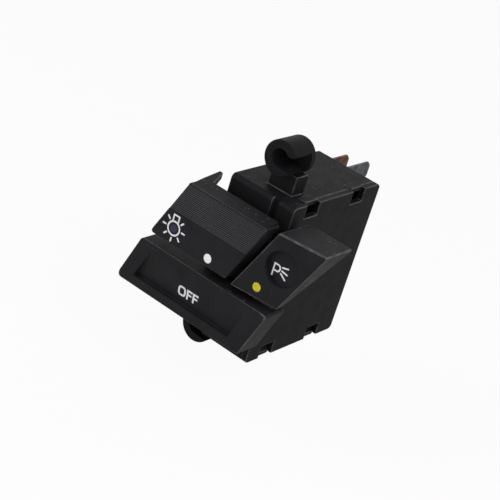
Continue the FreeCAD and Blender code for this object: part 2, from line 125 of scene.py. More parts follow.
def tint(name, what, colour):
    return FloatVectorProperty(
        name=name, description=what, subtype="COLOR", size=4, min=0, max=1, default=shade(*colour)
    )


def length(name, what, millimetres):
    return FloatProperty(
        name=name, description=what, default=millimetres * MM, min=0, unit="LENGTH", precision=5
    )


def watts(name, what, power):
    return FloatProperty(name=name, description=what, default=power, unit="POWER")


def vector(name, what, subtype, value):
    return FloatVectorProperty(name=name, description=what, subtype=subtype, default=value)


class SwitchSizes(bpy.types.PropertyGroup):
    """Sizes that the looks add to the modelled parts."""

    key_edge: length("Key edge", "Rounding of the keys' edges", 0.5)
    case_edge: length("Housing edge", "Rounding of the housing's edges", 0.3)
    metal_edge: length("Metal edge", "Rounding of the stamped metal's edges", 0.1)
    print_height: length("Print height", "Thickness of the printed marks", 0.03)
    stroke: length("Stroke", "Line width of the thin printed marks", 0.5)
    letter_stroke: length("Letter stroke", "Line width of the printed letters", 0.66)
    rib_height: length("Rib height", "Height of the grip's ribs from the bottom of their band", 0.2)
    coil_wire: length("Spring wire", "Thickness of the springs' wire", 0.42)
    coil_turns: IntProperty(
        name="Spring turns", description="Turns of a key's spring", default=7, min=2
    )


class SwitchColours(bpy.types.PropertyGroup):
    """Colours of the switch's materials."""

    case: tint("Housing plastic", "Black plastic of the housing", (22, 22, 24))
    key: tint("Key plastic", "Charcoal plastic of the keys", (31, 31, 33))
    slider: tint("Slider plastic", "Plastic of the parts inside", (38, 38, 38))
    # The colour of all rounded edges: partly worn plastic, partly a painted highlight.
    rubbed: tint("Rubbed edge", "Edges polished by handling", (74, 73, 76))
    ink: tint("White ink", "The printed marks", (226, 226, 232))
    lamp_ink: tint("Blue ink", "The middle of the lamp mark", (38, 36, 68))
    white_lens: tint("White lens", "The headlight key's indicator", (240, 240, 244))
    yellow_lens: tint("Yellow lens", "The parking key's indicator", (208, 196, 26))
    copper: tint("Copper", "Bare copper of the upper blades and the contacts", (128, 76, 54))
    tin: tint("Tin", "Tin plating of the lower blades", (98, 100, 106))
    steel: tint("Spring steel", "The springs and the latch bar", (150, 150, 152))
    floor: tint("Floor", "The pale floor", (250, 250, 250))


class SwitchStudio(bpy.types.PropertyGroup):
    """Camera, lights and floor."""

    camera_at: vector(
        "Camera", "Where the camera stands", "TRANSLATION", (0.20669, -0.35007, 0.16033)
    )
    camera_right: vector(
        "Camera right", "The picture's right side", "DIRECTION", (0.7519, 0.6004, 0.2724)
    )
    camera_up: vector("Camera up", "The picture's top", "DIRECTION", (-0.4684, 0.1958, 0.8615))
    lens: FloatProperty(name="Lens", description="Focal length in millimetres", default=108.0)
    floor_drop: length("Floor drop", "Room between the switch and the floor", 14.0)
    sky: FloatProperty(name="Sky light", description="Even light from all sides", default=0.35)
    key_light: watts("Key light", "Large soft lamp on the right", 2.0)
    fill_light: watts("Fill light", "Soft lamp on the left", 2.1)


def feed(node, inputs):
    """Gives a node's inputs, picked by name or number, a value or a link from a socket."""
    for name, value in inputs.items():
        if isinstance(value, bpy.types.NodeSocket):
            node.id_data.links.new(value, node.inputs[name])
        else:
            node.inputs[name].default_value = value
    return node


def add_node(tree, kind, inputs=None, **settings):
    """Adds one node to a shader or geometry tree, sets it up and feeds its inputs."""
    node = tree.nodes.new(kind)
    for name, value in settings.items():
        setattr(node, name, value)
    return feed(node, inputs or {})


def result(tree, kind, inputs=None, **settings):
    """The first output of a new node."""
    return add_node(tree, kind, inputs, **settings).outputs[0]


def new_material(name):
    """A material, its tree, its shader and the socket with a point's place on the object."""
    material = bpy.data.materials.new(name)
    material.use_nodes = True
    tree = material.node_tree
    where = add_node(tree, "ShaderNodeTexCoord").outputs["Object"]
    return material, tree, tree.nodes["Principled BSDF"], where


def mix(tree, factor, first, second):
    """A blend of two colours, each a value or a socket, by a factor."""
    inputs = {0: factor, 6: first, 7: second}
    return add_node(tree, "ShaderNodeMix", inputs, data_type="RGBA").outputs[2]


def maths(tree, operation, first, second=0.0):
    return result(tree, "ShaderNodeMath", {0: first, 1: second}, operation=operation)


def clouds(tree, where, scale, detail=2.0):
    """Soft random patches: a larger scale gives smaller patches."""
    return result(tree, "ShaderNodeTexNoise", {"Vector": where, "Scale": scale, "Detail": detail})


def band(tree, value, low, high, to_low=0.0, to_high=1.0):
    """Stretches the part of a value between low and high over a new range."""
    inputs = {"Value": value, "From Min": low, "From Max": high}
    inputs.update({"To Min": to_low, "To Max": to_high})
    return result(tree, "ShaderNodeMapRange", inputs)


def bump(tree, height, strength, distance):
    """The normal of a finely raised surface."""
    inputs = {"Height": height, "Strength": strength, "Distance": distance}
    return result(tree, "ShaderNodeBump", inputs)


def scaled(colour, amount):
    """A colour made lighter or darker."""
    return (*(min(1.0, channel * amount) for channel in colour[:3]), 1.0)


def dust_share(tree, where, dust):
    """How much pale dust lies at a point: small specks, only on faces that look up."""
    cells = add_node(tree, "ShaderNodeTexVoronoi", {"Vector": where, "Scale": 900.0}, feature="F1")
    speck = band(tree, cells.outputs["Distance"], 0.1, 0.2, 1.0, 0.0)
    chosen = band(tree, clouds(tree, where, 310.0, 1.0), 0.56, 0.6)
    outward = add_node(tree, "ShaderNodeTexCoord").outputs["Normal"]
    level = add_node(tree, "ShaderNodeSeparateXYZ", {"Vector": outward}).outputs["Z"]
    lying = maths(tree, "MULTIPLY", band(tree, level, 0.5, 0.8), dust)
    return maths(tree, "MULTIPLY", maths(tree, "MULTIPLY", speck, chosen), lying)


def moulded_plastic(name, colour, roughness, gloss, rubbed=None, dust=0.0):
    """Plastic with a fine grain and faint clouds, and dust or lighter patches where asked. The
    patches are partly worn plastic and partly a painted edge highlight.
    """
    material, tree, shader, where = new_material(name)
    cloud = band(tree, clouds(tree, where, 130.0), 0.3, 0.7)
    base = mix(tree, cloud, scaled(colour, 0.86), scaled(colour, 1.16))
    fleck = band(tree, clouds(tree, where, 1900.0, 1.0), 0.62, 0.8, 0.0, 0.5)
    base = mix(tree, fleck, base, scaled(colour, 2.2))
    if rubbed is not None:
        # Patches of the edge colour, partly worn plastic and partly a painted highlight.
        wear_and_highlight_share = band(tree, clouds(tree, where, 420.0, 3.0), 0.42, 0.62, 0.25, 1.0)
        base = mix(tree, wear_and_highlight_share, base, rubbed)
    if dust:
        base = mix(tree, dust_share(tree, where, dust), base, shade(150, 148, 145))
    polish = clouds(tree, where, 260.0, 3.0)
    inputs = {
        "Base Color": base,
        "Roughness": band(tree, polish, 0.3, 0.7, roughness - 0.05, roughness + 0.06),
        "Specular IOR Level": gloss,
        "Normal": bump(tree, clouds(tree, where, 3600.0, 2.0), 0.22, 0.00004),
    }
    feed(shader, inputs)
    return material


def printed_ink(name, colour):
    """Pad printed ink: nearly even, with a slightly thin and matt film."""
    material, tree, shader, where = new_material(name)
    thin = band(tree, clouds(tree, where, 1500.0, 2.0), 0.35, 0.65)
    inputs = {
        "Base Color": mix(tree, thin, scaled(colour, 0.88), colour),
        "Roughness": band(tree, clouds(tree, where, 900.0), 0.3, 0.7, 0.5, 0.62),
        "Specular IOR Level": 0.3,
    }
    feed(shader, inputs)
    return material


def lens_plastic(name, colour, mottle):
    """The milky plastic of an indicator, with a darker mottle inside."""
    material, tree, shader, where = new_material(name)
    patches = band(tree, clouds(tree, where, 1400.0, 3.0), 0.4, 0.62)
    share = maths(tree, "MULTIPLY", patches, mottle)
    inputs = {
        "Base Color": mix(tree, share, colour, scaled(colour, 0.62)),
        "Roughness": band(tree, clouds(tree, where, 700.0), 0.3, 0.7, 0.28, 0.4),
        "Subsurface Weight": 0.15,
        "Subsurface Radius": (0.0006, 0.0006, 0.0005),
        "Specular IOR Level": 0.4,
    }
    feed(shader, inputs)
    return material


def metal(name, colour, tarnish, roughness, streak_scale=(1.0, 0.12, 1.0)):
    """Rolled sheet metal: streaks along its length, tarnished patches and a soft gloss."""
    material, tree, shader, where = new_material(name)
    along = add_node(tree, "ShaderNodeMapping", {"Vector": where, "Scale": streak_scale})
    streaks = clouds(tree, along.outputs["Vector"], 2600.0, 3.0)
    patches = band(tree, clouds(tree, where, 330.0, 4.0), 0.42, 0.66)
    bright = band(tree, streaks, 0.35, 0.65)
    base = mix(tree, bright, scaled(colour, 0.82), scaled(colour, 1.08))
    inputs = {
        "Base Color": mix(tree, patches, base, tarnish),
        "Roughness": band(tree, streaks, 0.3, 0.7, roughness - 0.08, roughness + 0.12),
        "Metallic": 1.0,
        "Normal": bump(tree, streaks, 0.15, 0.00002),
    }
    feed(shader, inputs)
    return material


FINISHES = {}
# The keys' finishes: plain plastic, and lighter, glossier edges that are partly worn plastic and
# partly a painted highlight.
KEY_WEAR_AND_HIGHLIGHT = ("key", "key_edge")


def make_finishes():
    """Makes every finish once."""
    colours = bpy.context.scene.switch_colours
    tints = {name: tuple(getattr(colours, name)) for name in colours.__annotations__}
    key, case, slider, rubbed = (tints[name] for name in ("key", "case", "slider", "rubbed"))
    # A dimmer edge colour for the housing and the sliders, also partly worn plastic and partly a
    # painted highlight.
    faint = scaled(rubbed, 0.7)
    FINISHES.update(
        key=moulded_plastic("Key plastic", key, 0.5, 0.07, dust=0.5),
        key_edge=moulded_plastic("Key plastic rubbed", key, 0.38, 0.35, rubbed=rubbed),
        # The ribs are the key's own plastic made much lighter: a painted highlight.
        key_rib=moulded_plastic("Key rib", scaled(key, 1.9), 0.42, 0.25),
        case=moulded_plastic("Housing plastic", case, 0.52, 0.06, dust=0.35),
        case_edge=moulded_plastic("Housing plastic rubbed", case, 0.4, 0.3, rubbed=faint),
        slider=moulded_plastic("Slider plastic", slider, 0.48, 0.2),
        slider_edge=moulded_plastic("Slider plastic rubbed", slider, 0.42, 0.25, rubbed=faint),
        ink=printed_ink("White ink", tints["ink"]),
        lamp_ink=printed_ink("Blue ink", tints["lamp_ink"]),
        white_lens=lens_plastic("White lens", tints["white_lens"], 0.15),
        yellow_lens=lens_plastic("Yellow lens", tints["yellow_lens"], 0.8),
        copper=metal("Bare copper", tints["copper"], shade(72, 44, 32), 0.36),
        tin=metal("Tinned blade", tints["tin"], shade(66, 68, 74), 0.42),
        steel=metal("Spring steel", tints["steel"], shade(110, 108, 104), 0.3, (1.0, 1.0, 1.0)),
    )


def new_mesh(form, name):
    """The mesh of finished working geometry."""
    mesh = bpy.data.meshes.new(name)
    form.to_mesh(mesh)
    form.free()
    return mesh


@contextmanager
def editing(mesh):
    """Opens a mesh as working geometry and writes the changes back."""
    form = bmesh.new()
    form.from_mesh(mesh)
    yield form
    form.to_mesh(mesh)
    form.free()


def apply_modifiers(piece):
    """Puts the mesh that the modifiers make in place of the piece's own."""
    graph = bpy.context.evaluated_depsgraph_get()
    mesh = bpy.data.meshes.new_from_object(
        piece.evaluated_get(graph), preserve_all_data_layers=True, depsgraph=graph
    )
    piece.modifiers.clear()
    piece.data = mesh
    return piece


def work_on(mesh, name="work"):
    """A working object for a mesh that is still being shaped."""
    piece = bpy.data.objects.new(name, mesh)
    bpy.context.scene.collection.objects.link(piece)
    return piece


def link(name, mesh, *finishes):
    """A new object at the origin with its finishes."""
    mesh.materials.clear()
    for finish in finishes:
        mesh.materials.append(FINISHES[finish])
    return work_on(mesh, name)


def carried(piece, body):
    """The piece moves with its body."""
    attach(piece, body)
    return piece


def own(piece, node, body, slot):
    """The piece stands for a modelled part and moves with its body. Its slot is not used."""
    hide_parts(node)
    return carried(piece, body)


def edge_room(edge, wanted):
    """How wide this edge can be rounded before it meets its neighbours."""
    room, straight_on, share = wanted, -0.8, 0.36
    for corner in edge.verts:
        along = (edge.other_vert(corner).co - corner.co).normalized()
        for other in corner.link_edges:
            away = other.other_vert(corner).co - corner.co
            if other is not edge and away.normalized().dot(along) > straight_on:
                reach = (away - along * away.dot(along)).length
                room = min(room, reach * share)
    return room


def softened(corners, radii):
    """An outline whose corners are cut to short arcs. A corner with no radius stays sharp."""
    points, steps = [], 4
    for index, (corner, radius) in enumerate(zip(corners, radii)):
        if not radius:
            points.append(corner)
            continue
        corner = Vector(corner)
        before = (Vector(corners[index - 1]) - corner).normalized()
        after = (Vector(corners[(index + 1) % len(corners)]) - corner).normalized()
        reach = radius / math.tan(before.angle(after) / 2)
        start, end = corner + before * reach, corner + after * reach
        middle = corner + (before + after).normalized() * radius / math.sin(before.angle(after) / 2)
        swing = (end - middle).angle_signed(start - middle)
        for step in range(steps + 1):
            turn = Matrix.Rotation(swing * step / steps, 2)
            points.append(tuple(middle + turn @ (start - middle)))
    return points


def prism(outline, plane, start, end):
    """A flat outline seen from the front, the side or the top, pushed from start to end."""
    spots = {
        "front": lambda a, b, depth: place(a, depth, b),
        "side": lambda a, b, depth: place(depth, a, b),
        "top": lambda a, b, depth: place(a, b, depth),
    }[plane]
    return loft([[spots(a, b, depth) for a, b in outline] for depth in (start, end)])


def join_loops(form, first, second):
    """Faces between two equally long closed loops of points."""
    for here in range(len(first)):
        after = (here + 1) % len(first)
        form.faces.new((first[here], first[after], second[after], second[here]))


def loft(loops):
    """A closed solid through equally long loops of points."""
    form = bmesh.new()
    rows = [[form.verts.new(point) for point in loop] for loop in loops]
    form.faces.new(rows[0])
    form.faces.new(rows[-1][::-1])
    for first, second in zip(rows, rows[1:]):
        join_loops(form, first, second)
    bmesh.ops.recalc_face_normals(form, faces=form.faces)
    return new_mesh(form, "form")


def shape(piece, operation, *tools):
    """Joins solids to the piece, or cuts them from it."""
    for mesh in tools:
        tool = work_on(mesh)
        modifier = piece.modifiers.new(operation, "BOOLEAN")
        modifier.operation = operation
        modifier.solver = "EXACT"
        modifier.object = tool
        count = len(piece.data.vertices)
        apply_modifiers(piece)
        bpy.data.objects.remove(tool)
        if not piece.data.polygons or len(piece.data.vertices) == count:
            raise RuntimeError("a solid neither joined nor cut its piece")
    return piece


def clean(form):
    """Merges doubled points and joins triangles to whole flat faces."""
    bmesh.ops.remove_doubles(form, verts=form.verts, dist=MERGE)
    bmesh.ops.dissolve_limit(form, angle_limit=FLAT, verts=form.verts, edges=form.edges)


def split_large(form):
    """Cuts faces with more than four corners into triangles."""
    large = [side for side in form.faces if len(side.verts) > 4]
    bmesh.ops.triangulate(form, faces=large)


def part_copy(node):
    """A working copy of a modelled part with its doubled points merged."""
    form = bmesh.new()
    form.from_mesh(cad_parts[node].data)
    clean(form)
    split_large(form)
    return work_on(new_mesh(form, node))


def faulty_spots(mesh, plain, rounding):
    """Corners of faces that the rounding turned over, pushed out or tore open."""
    speck, too_far, turned_over = 1e-10, rounding * 1.1, -0.3
    form = bmesh.new()
    form.from_mesh(mesh)
    faulty = [edge for edge in form.edges if not edge.is_manifold]
    for side in form.faces:
        if side.calc_area() > speck:
            _, normal, _, away = plain.find_nearest(side.calc_center_median())
            if away > too_far or normal.dot(side.normal) < turned_over:
                faulty.append(side)
    spots = [vertex.co.copy() for piece in faulty for vertex in piece.verts]
    form.free()
    return spots


def rounded(mesh, name, rounding, finishes):
    """A piece with its marked edges rounded."""
    piece = link(name, mesh.copy(), *finishes)
    bevel = piece.modifiers.new("Rounded edges", "BEVEL")
    bevel.limit_method = "WEIGHT"
    bevel.width = rounding
    bevel.segments = 3
    bevel.use_clamp_overlap = False
    # The rounded faces take the edge finish with its painted highlight.
    bevel.material = 1
    apply_modifiers(piece)
    with editing(piece.data) as form:
        split_large(form)
    piece.data.name = name
    return piece


def set_normals(piece):
    """Flat faces shade flat, rounded edges shade smooth and corners stay sharp."""
    with editing(piece.data) as form:
        for side in form.faces:
            side.smooth = True
        for crease in form.edges:
            crease.smooth = crease.calc_face_angle(0.0) < CORNER
    normals = piece.modifiers.new("Flat faces", "WEIGHTED_NORMAL")
    normals.weight = 100
    normals.keep_sharp = True
    return apply_modifiers(piece)


def ease(form, weight, spots, near):
    """Halves the rounding of the edges that pass near faulty spots."""
    for crease in form.edges:
        if crease[weight]:
            start, end = (corner.co for corner in crease.verts)
            for spot in spots:
                share = min(1.0, max(0.0, intersect_point_line(spot, start, end)[1]))
                if (start.lerp(end, share) - spot).length < near:
                    crease[weight] *= 0.5
                    break


def finish_form(work, name, rounding, finishes, quiet=None, quiet_share=0.5):
    """Rounds a shaped solid's edges and smooths its shading. Edges that quiet picks are rounded
    less, by a share, and don't get the finish for edges, whose lighter colour is partly worn
    plastic and partly a painted highlight."""
    form = bmesh.new()
    form.from_mesh(work.data)
    bpy.data.objects.remove(work)
    clean(form)
    weight = form.edges.layers.float.new("bevel_weight_edge")
    creases = [crease for crease in form.edges if crease.calc_face_angle(0.0) > SHARP]
    for side in form.faces:
        side.smooth = True
    for crease in creases:
        middle = (crease.verts[0].co + crease.verts[1].co) / 2
        hushed = quiet is not None and quiet(*on_switch(middle))
        wanted = rounding * quiet_share if hushed else rounding
        crease[weight] = edge_room(crease, wanted) / rounding
    mesh = bpy.data.meshes.new(name)
    plain = BVHTree.FromBMesh(form)
    for attempt in range(TRIES):
        for crease in creases:
            crease.smooth = crease[weight] * rounding > LEAST_ROUNDING
            crease[weight] *= crease.smooth
        form.to_mesh(mesh)
        piece = rounded(mesh, name, rounding, finishes)
        spots = faulty_spots(piece.data, plain, rounding)
        if not spots or attempt == TRIES - 1:
            break
        bpy.data.objects.remove(piece)
        ease(form, weight, spots, rounding * 1.5)
    form.free()
    if quiet is not None and quiet_share:
        for side in piece.data.polygons:
            if side.material_index and quiet(*on_switch(side.center)):
                side.material_index = 0
    return set_normals(piece)


def dress(node, name, rounding, finishes, body, slot):
    """A copy of a modelled part with its edges rounded and given the lighter edge finish, partly
    worn plastic and partly a painted highlight, in the part's place.
    """
    return own(finish_form(part_copy(node), name, rounding, finishes), node, body, slot)


class Mark:
    """Collects thin printed shapes that lie on the front of a key."""

    def __init__(self, piece):
        self.form = bmesh.new()
        corners = [vertex.co for vertex in piece.data.vertices]
        sides = [list(side.vertices) for side in piece.data.polygons]
        self.front = BVHTree.FromPolygons(corners, sides)
        self.thick = bpy.context.scene.switch_sizes.print_height

    def on_key(self, x, z, lift):
        """The place on the key's face behind x and z, lifted off it by lift."""
        before_key = -20.0
        hit = self.front.ray_cast(place(x, before_key, z), Vector((0, 1, 0)))[0]
        if hit is None:
            raise RuntimeError("a mark at %.2f, %.2f misses its key" % (x, z))
        return hit - Vector((0, lift, 0))

    def loop(self, points, lift):
        return [self.form.verts.new(self.on_key(x, z, lift)) for x, z in points]

    def filled(self, points):
        """A solid flat shape inside one outline."""
        top, bottom = self.loop(points, self.thick), self.loop(points, -self.thick)
        self.form.faces.new(top)
        self.form.faces.new(bottom[::-1])
        join_loops(self.form, top, bottom)

    def ring(self, outer, inner):
        """A flat band between two outlines of equally many points."""
        lifts = (self.thick, -self.thick)
        loops = [self.loop(line, lift) for line in (outer, inner) for lift in lifts]
        for first, second in ((0, 1), (2, 0), (1, 3), (3, 2)):
            join_loops(self.form, loops[first], loops[second])

    def line(self, path, width):
        """A stroke of even width along a path."""
        left, right = stroke(path, width)
        self.filled(left + right[::-1])

    def printed(self, name, finish, body):
        """The finished mark, which moves with its key."""
        bmesh.ops.recalc_face_normals(self.form, faces=self.form.faces)
        return carried(link(name, new_mesh(self.form, name), finish), body)


def block(left, low, right, high):
    """The outline of a box."""
    return [(left, low), (right, low), (right, high), (left, high)]


def around(x, z, radius, degrees):
    """The point of a circle at an angle."""
    turn = math.radians(degrees)
    return x + radius * math.cos(turn), z + radius * math.sin(turn)


def arc(x, z, radius, start, sweep, steps):
    """Points along an arc, whose start and sweep are in degrees."""
    return [around(x, z, radius, start + sweep * step / steps) for step in range(steps + 1)]


def circle(x, z, radius, count=48):
    """Points round a circle."""
    return arc(x, z, radius, 0.0, 360.0, count)[:-1]


def bar(start, end, width):
    """The outline of a straight stroke with round ends."""
    heading = math.degrees(math.atan2(end[1] - start[1], end[0] - start[0]))
    far = arc(*end, width / 2, heading - 90.0, 180.0, 6)
    return far + arc(*start, width / 2, heading + 90.0, 180.0, 6)


def stroke(path, width, closed=False):
    """The two sides of a stroke along a path of points, as equally long lists."""
    points = [Vector(point) for point in path]
    left, right = [], []
    count = len(points)
    for index, point in enumerate(points):
        before = points[index - 1] if closed or index else point
        after = points[(index + 1) % count] if closed or index < count - 1 else point
        into = (point - before).normalized() if point != before else (after - point).normalized()
        out = (after - point).normalized() if after != point else into
        side = Vector((-into.y, into.x)) + Vector((-out.y, out.x))
        side = side.normalized() * (width / 2) / max(0.5, side.length / 2)
        left.append(tuple(point + side))
        right.append(tuple(point - side))
    return left, right


def rounded_box(left, low, right, high, radius):
    """The outline of a box with round corners."""
    middles = block(left + radius, low + radius, right - radius, high - radius)
    points = []
    for (x, z), start in zip(middles, (180.0, 270.0, 0.0, 90.0)):
        points += arc(x, z, radius, start, 90.0, 5)
    return points


def new_tree(name, kinds):
    """A geometry tree with named inputs, and the sockets that they come in by."""
    tree = bpy.data.node_groups.new(name, "GeometryNodeTree")
    tree.is_modifier = True
    for label, kind in kinds.items():
        tree.interface.new_socket(name=label, in_out="INPUT", socket_type="NodeSocket" + kind)
    tree.interface.new_socket(name="Geometry", in_out="OUTPUT", socket_type="NodeSocketGeometry")
    return tree, tree.nodes.new("NodeGroupInput").outputs


def close_tree(tree, geometry, material):
    """Ends a tree in real geometry with its material."""
    real = result(tree, "GeometryNodeRealizeInstances", {"Geometry": geometry})
    inputs = {"Geometry": real, "Material": material}
    add_node(tree, "NodeGroupOutput", {0: result(tree, "GeometryNodeSetMaterial", inputs)})
    return tree


def grown(name, tree, values, finish):
    """A piece that a geometry tree makes, turned into a plain mesh."""
    piece = link(name, bpy.data.meshes.new(name), finish)
    modifier = piece.modifiers.new(tree.name, "NODES")
    modifier.node_group = tree
    for item in tree.interface.items_tree:
        if item.in_out == "INPUT" and item.name in values:
            modifier[item.identifier] = values[item.name]
    apply_modifiers(piece)
    if not piece.data.polygons:
        raise RuntimeError("%s came out empty" % name)
    return piece


def rib_tree():
    """Rows of round ribs, each shifted from the last."""
    kinds = {"Count": "Int", "Start": "Vector", "Step": "Vector", "Length": "Float"}
    kinds.update({"Width": "Float", "Height": "Float", "Material": "Material"})
    tree, given = new_tree("Grip ribs", kinds)
    line = {"Count": given["Count"], "Start Location": given["Start"], "Offset": given["Step"]}
    rows = result(tree, "GeometryNodeMeshLine", line)
    end = result(tree, "ShaderNodeCombineXYZ", {"X": given["Length"]})
    run = result(tree, "GeometryNodeCurvePrimitiveLine", {"End": end})
    ring = result(tree, "GeometryNodeCurvePrimitiveCircle", {"Resolution": 10, "Radius": 1.0})
    sizes = {"X": given["Width"], "Y": given["Height"], "Z": 1.0}
    size = result(tree, "ShaderNodeCombineXYZ", sizes)
    oval = result(tree, "GeometryNodeTransform", {"Geometry": ring, "Scale": size})
    swept = {"Curve": run, "Profile Curve": oval, "Fill Caps": True}
    rib = result(tree, "GeometryNodeCurveToMesh", swept)
    spread = result(tree, "GeometryNodeInstanceOnPoints", {"Points": rows, "Instance": rib})
    return close_tree(tree, spread, given["Material"])


def coil_tree():
    """A round wire spring along Z, whose turns lie closer at both ends."""
    kinds = {"Turns": "Float", "Radius": "Float", "Length": "Float", "Wire": "Float"}
    tree, given = new_tree("Coil spring", {**kinds, "Material": "Material"})
    along = result(tree, "GeometryNodeCurvePrimitiveLine", {"End": (0.0, 0.0, 1.0)})
    fine = result(tree, "GeometryNodeResampleCurve", {"Curve": along, "Count": 220})
    share = result(tree, "GeometryNodeSplineParameter")
    whole = maths(tree, "MULTIPLY", share, 2 * math.pi)
    turn = maths(tree, "MULTIPLY", whole, given["Turns"])
    closer = maths(tree, "MULTIPLY", maths(tree, "SINE", whole), 0.8 / (2 * math.pi))
    eased = maths(tree, "SUBTRACT", share, closer)
    spots = {
        "X": maths(tree, "MULTIPLY", maths(tree, "COSINE", turn), given["Radius"]),
        "Y": maths(tree, "MULTIPLY", maths(tree, "SINE", turn), given["Radius"]),
        "Z": maths(tree, "MULTIPLY", eased, given["Length"]),
    }
    spot = result(tree, "ShaderNodeCombineXYZ", spots)
    wound = result(tree, "GeometryNodeSetPosition", {"Geometry": fine, "Position": spot})
    round_wire = {"Resolution": 10, "Radius": given["Wire"]}
    wire = result(tree, "GeometryNodeCurvePrimitiveCircle", round_wire)
    swept = {"Curve": wound, "Profile Curve": wire, "Fill Caps": True}
    return close_tree(tree, result(tree, "GeometryNodeCurveToMesh", swept), given["Material"])


class SWITCH_OT_off_key(bpy.types.Operator):
    """Makes the long OFF key with its printed letters and its slider"""

    bl_idname = "switch.off_key"
    bl_label = "OFF Key"

    def shape_cap(self, sizes):
        """A long shell with a finger dish that is deepest along its lower edge."""
        outline = [(0.0, 0.0), (50.0, 0.0), (55.65, 16.34), (5.65, 16.34)]
        cap = work_on(prism(softened(outline, (1.5, 0.8, 0.8, 1.5)), "front", 0.0, 9.5))
        inside = [(2.15, 1.6), (47.7, 1.6), (53.4, 14.74), (7.9, 14.74)]
        shape(cap, "DIFFERENCE", prism(inside, "front", 2.2, 12.0))
        shape(cap, "DIFFERENCE", prism(block(21.3, -1.0, 48.47, 17.5), "front", 6.4, 12.0))
        shape(cap, "DIFFERENCE", self.dish())
        return finish_form(cap, "off_key_cap", sizes.key_edge, KEY_WEAR_AND_HIGHLIGHT, self.in_dish)

    def dish(self):
        """The dish as a solid, whose floor slopes up to the key's face and past it."""
        low, high, past, deep = 3.1, 13.5, 0.5, 1.75
        rise = high + past - low
        left, right = 6.4 + 3.6 / 10.3 * rise, 44.9 + 3.1 / 10.3 * rise
        outline = [(44.9, low), (6.4, low), (left, low + rise), (right, low + rise)]
        front = [place(x, -2.0, z) for x, z in outline]
        floor = [place(x, deep * (1 - (z - low) / (high - low)), z) for x, z in outline]
        return loft([front, floor])

    @staticmethod
    def in_dish(x, y, z):
        return 5.8 < x < 49.5 and 2.4 < z < 13.9

    def execute(self, context):
        sizes = context.scene.switch_sizes
        cap = self.shape_cap(sizes)
        mark = Mark(cap)
        width = sizes.letter_stroke / MM
        low, high = 5.62, 9.08
        outer = rounded_box(23.0, low, 26.05, high, 1.15)
        inner = rounded_box(23.0 + width, low + width, 26.05 - width, high - width, 0.55)
        mark.ring(outer, inner)
        for left, right in ((26.45, 28.6), (28.85, 31.0)):
            stem, waist, short = left + width, low + 1.45, right - 0.25
            lower = [(left, low), (stem, low), (stem, waist), (short, waist)]
            middle = [(short, waist + width), (stem, waist + width), (stem, high - width)]
            mark.filled(lower + middle + [(right, high - width), (right, high), (left, high)])
        own(cap, "off_cap", "off_key", "key_plastic")
        mark.printed("off_letters", "ink", "off_key")
        make_slider("off", sizes)
        return {"FINISHED"}


def make_slider(key, sizes):
    """The slider behind a key."""
    # The slider's finishes. The edge one is partly worn plastic and partly a painted highlight.
    node, name, rubbed = key + "_slider", key + "_key_slider", ("slider", "slider_edge")
    return dress(node, name, sizes.case_edge, rubbed, key + "_key", "slider_plastic")


def make_lens(node, name, body, slot):
    """An indicator with a slightly domed front that shows in its key."""
    low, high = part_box(node)
    radius, middle, count = (high.x - low.x) / 2, (low + high) / 2, 40
    # Shares of the radius, and how far behind the modelled front the lens lies there.
    profile = [(0.5, -0.0001), (0.8, -0.00005), (0.94, 0.00002), (1.0, 0.00012)]
    form = bmesh.new()
    rows = []
    for share, back in profile + [(1.0, high.y - low.y)]:
        points = circle(middle.x, middle.z, radius * share, count)
        rows.append([form.verts.new((x, low.y + back, z)) for x, z in points])
    tip = form.verts.new((middle.x, low.y - 0.00012, middle.z))
    for here in range(count):
        form.faces.new((tip, rows[0][here], rows[0][(here + 1) % count]))
    for near, far in zip(rows, rows[1:]):
        join_loops(form, near, far)
    form.faces.new(rows[-1])
    bmesh.ops.recalc_face_normals(form, faces=form.faces)
    for side in form.faces:
        side.smooth = len(side.verts) < 5
    return own(link(name, new_mesh(form, name), name), node, body, slot)


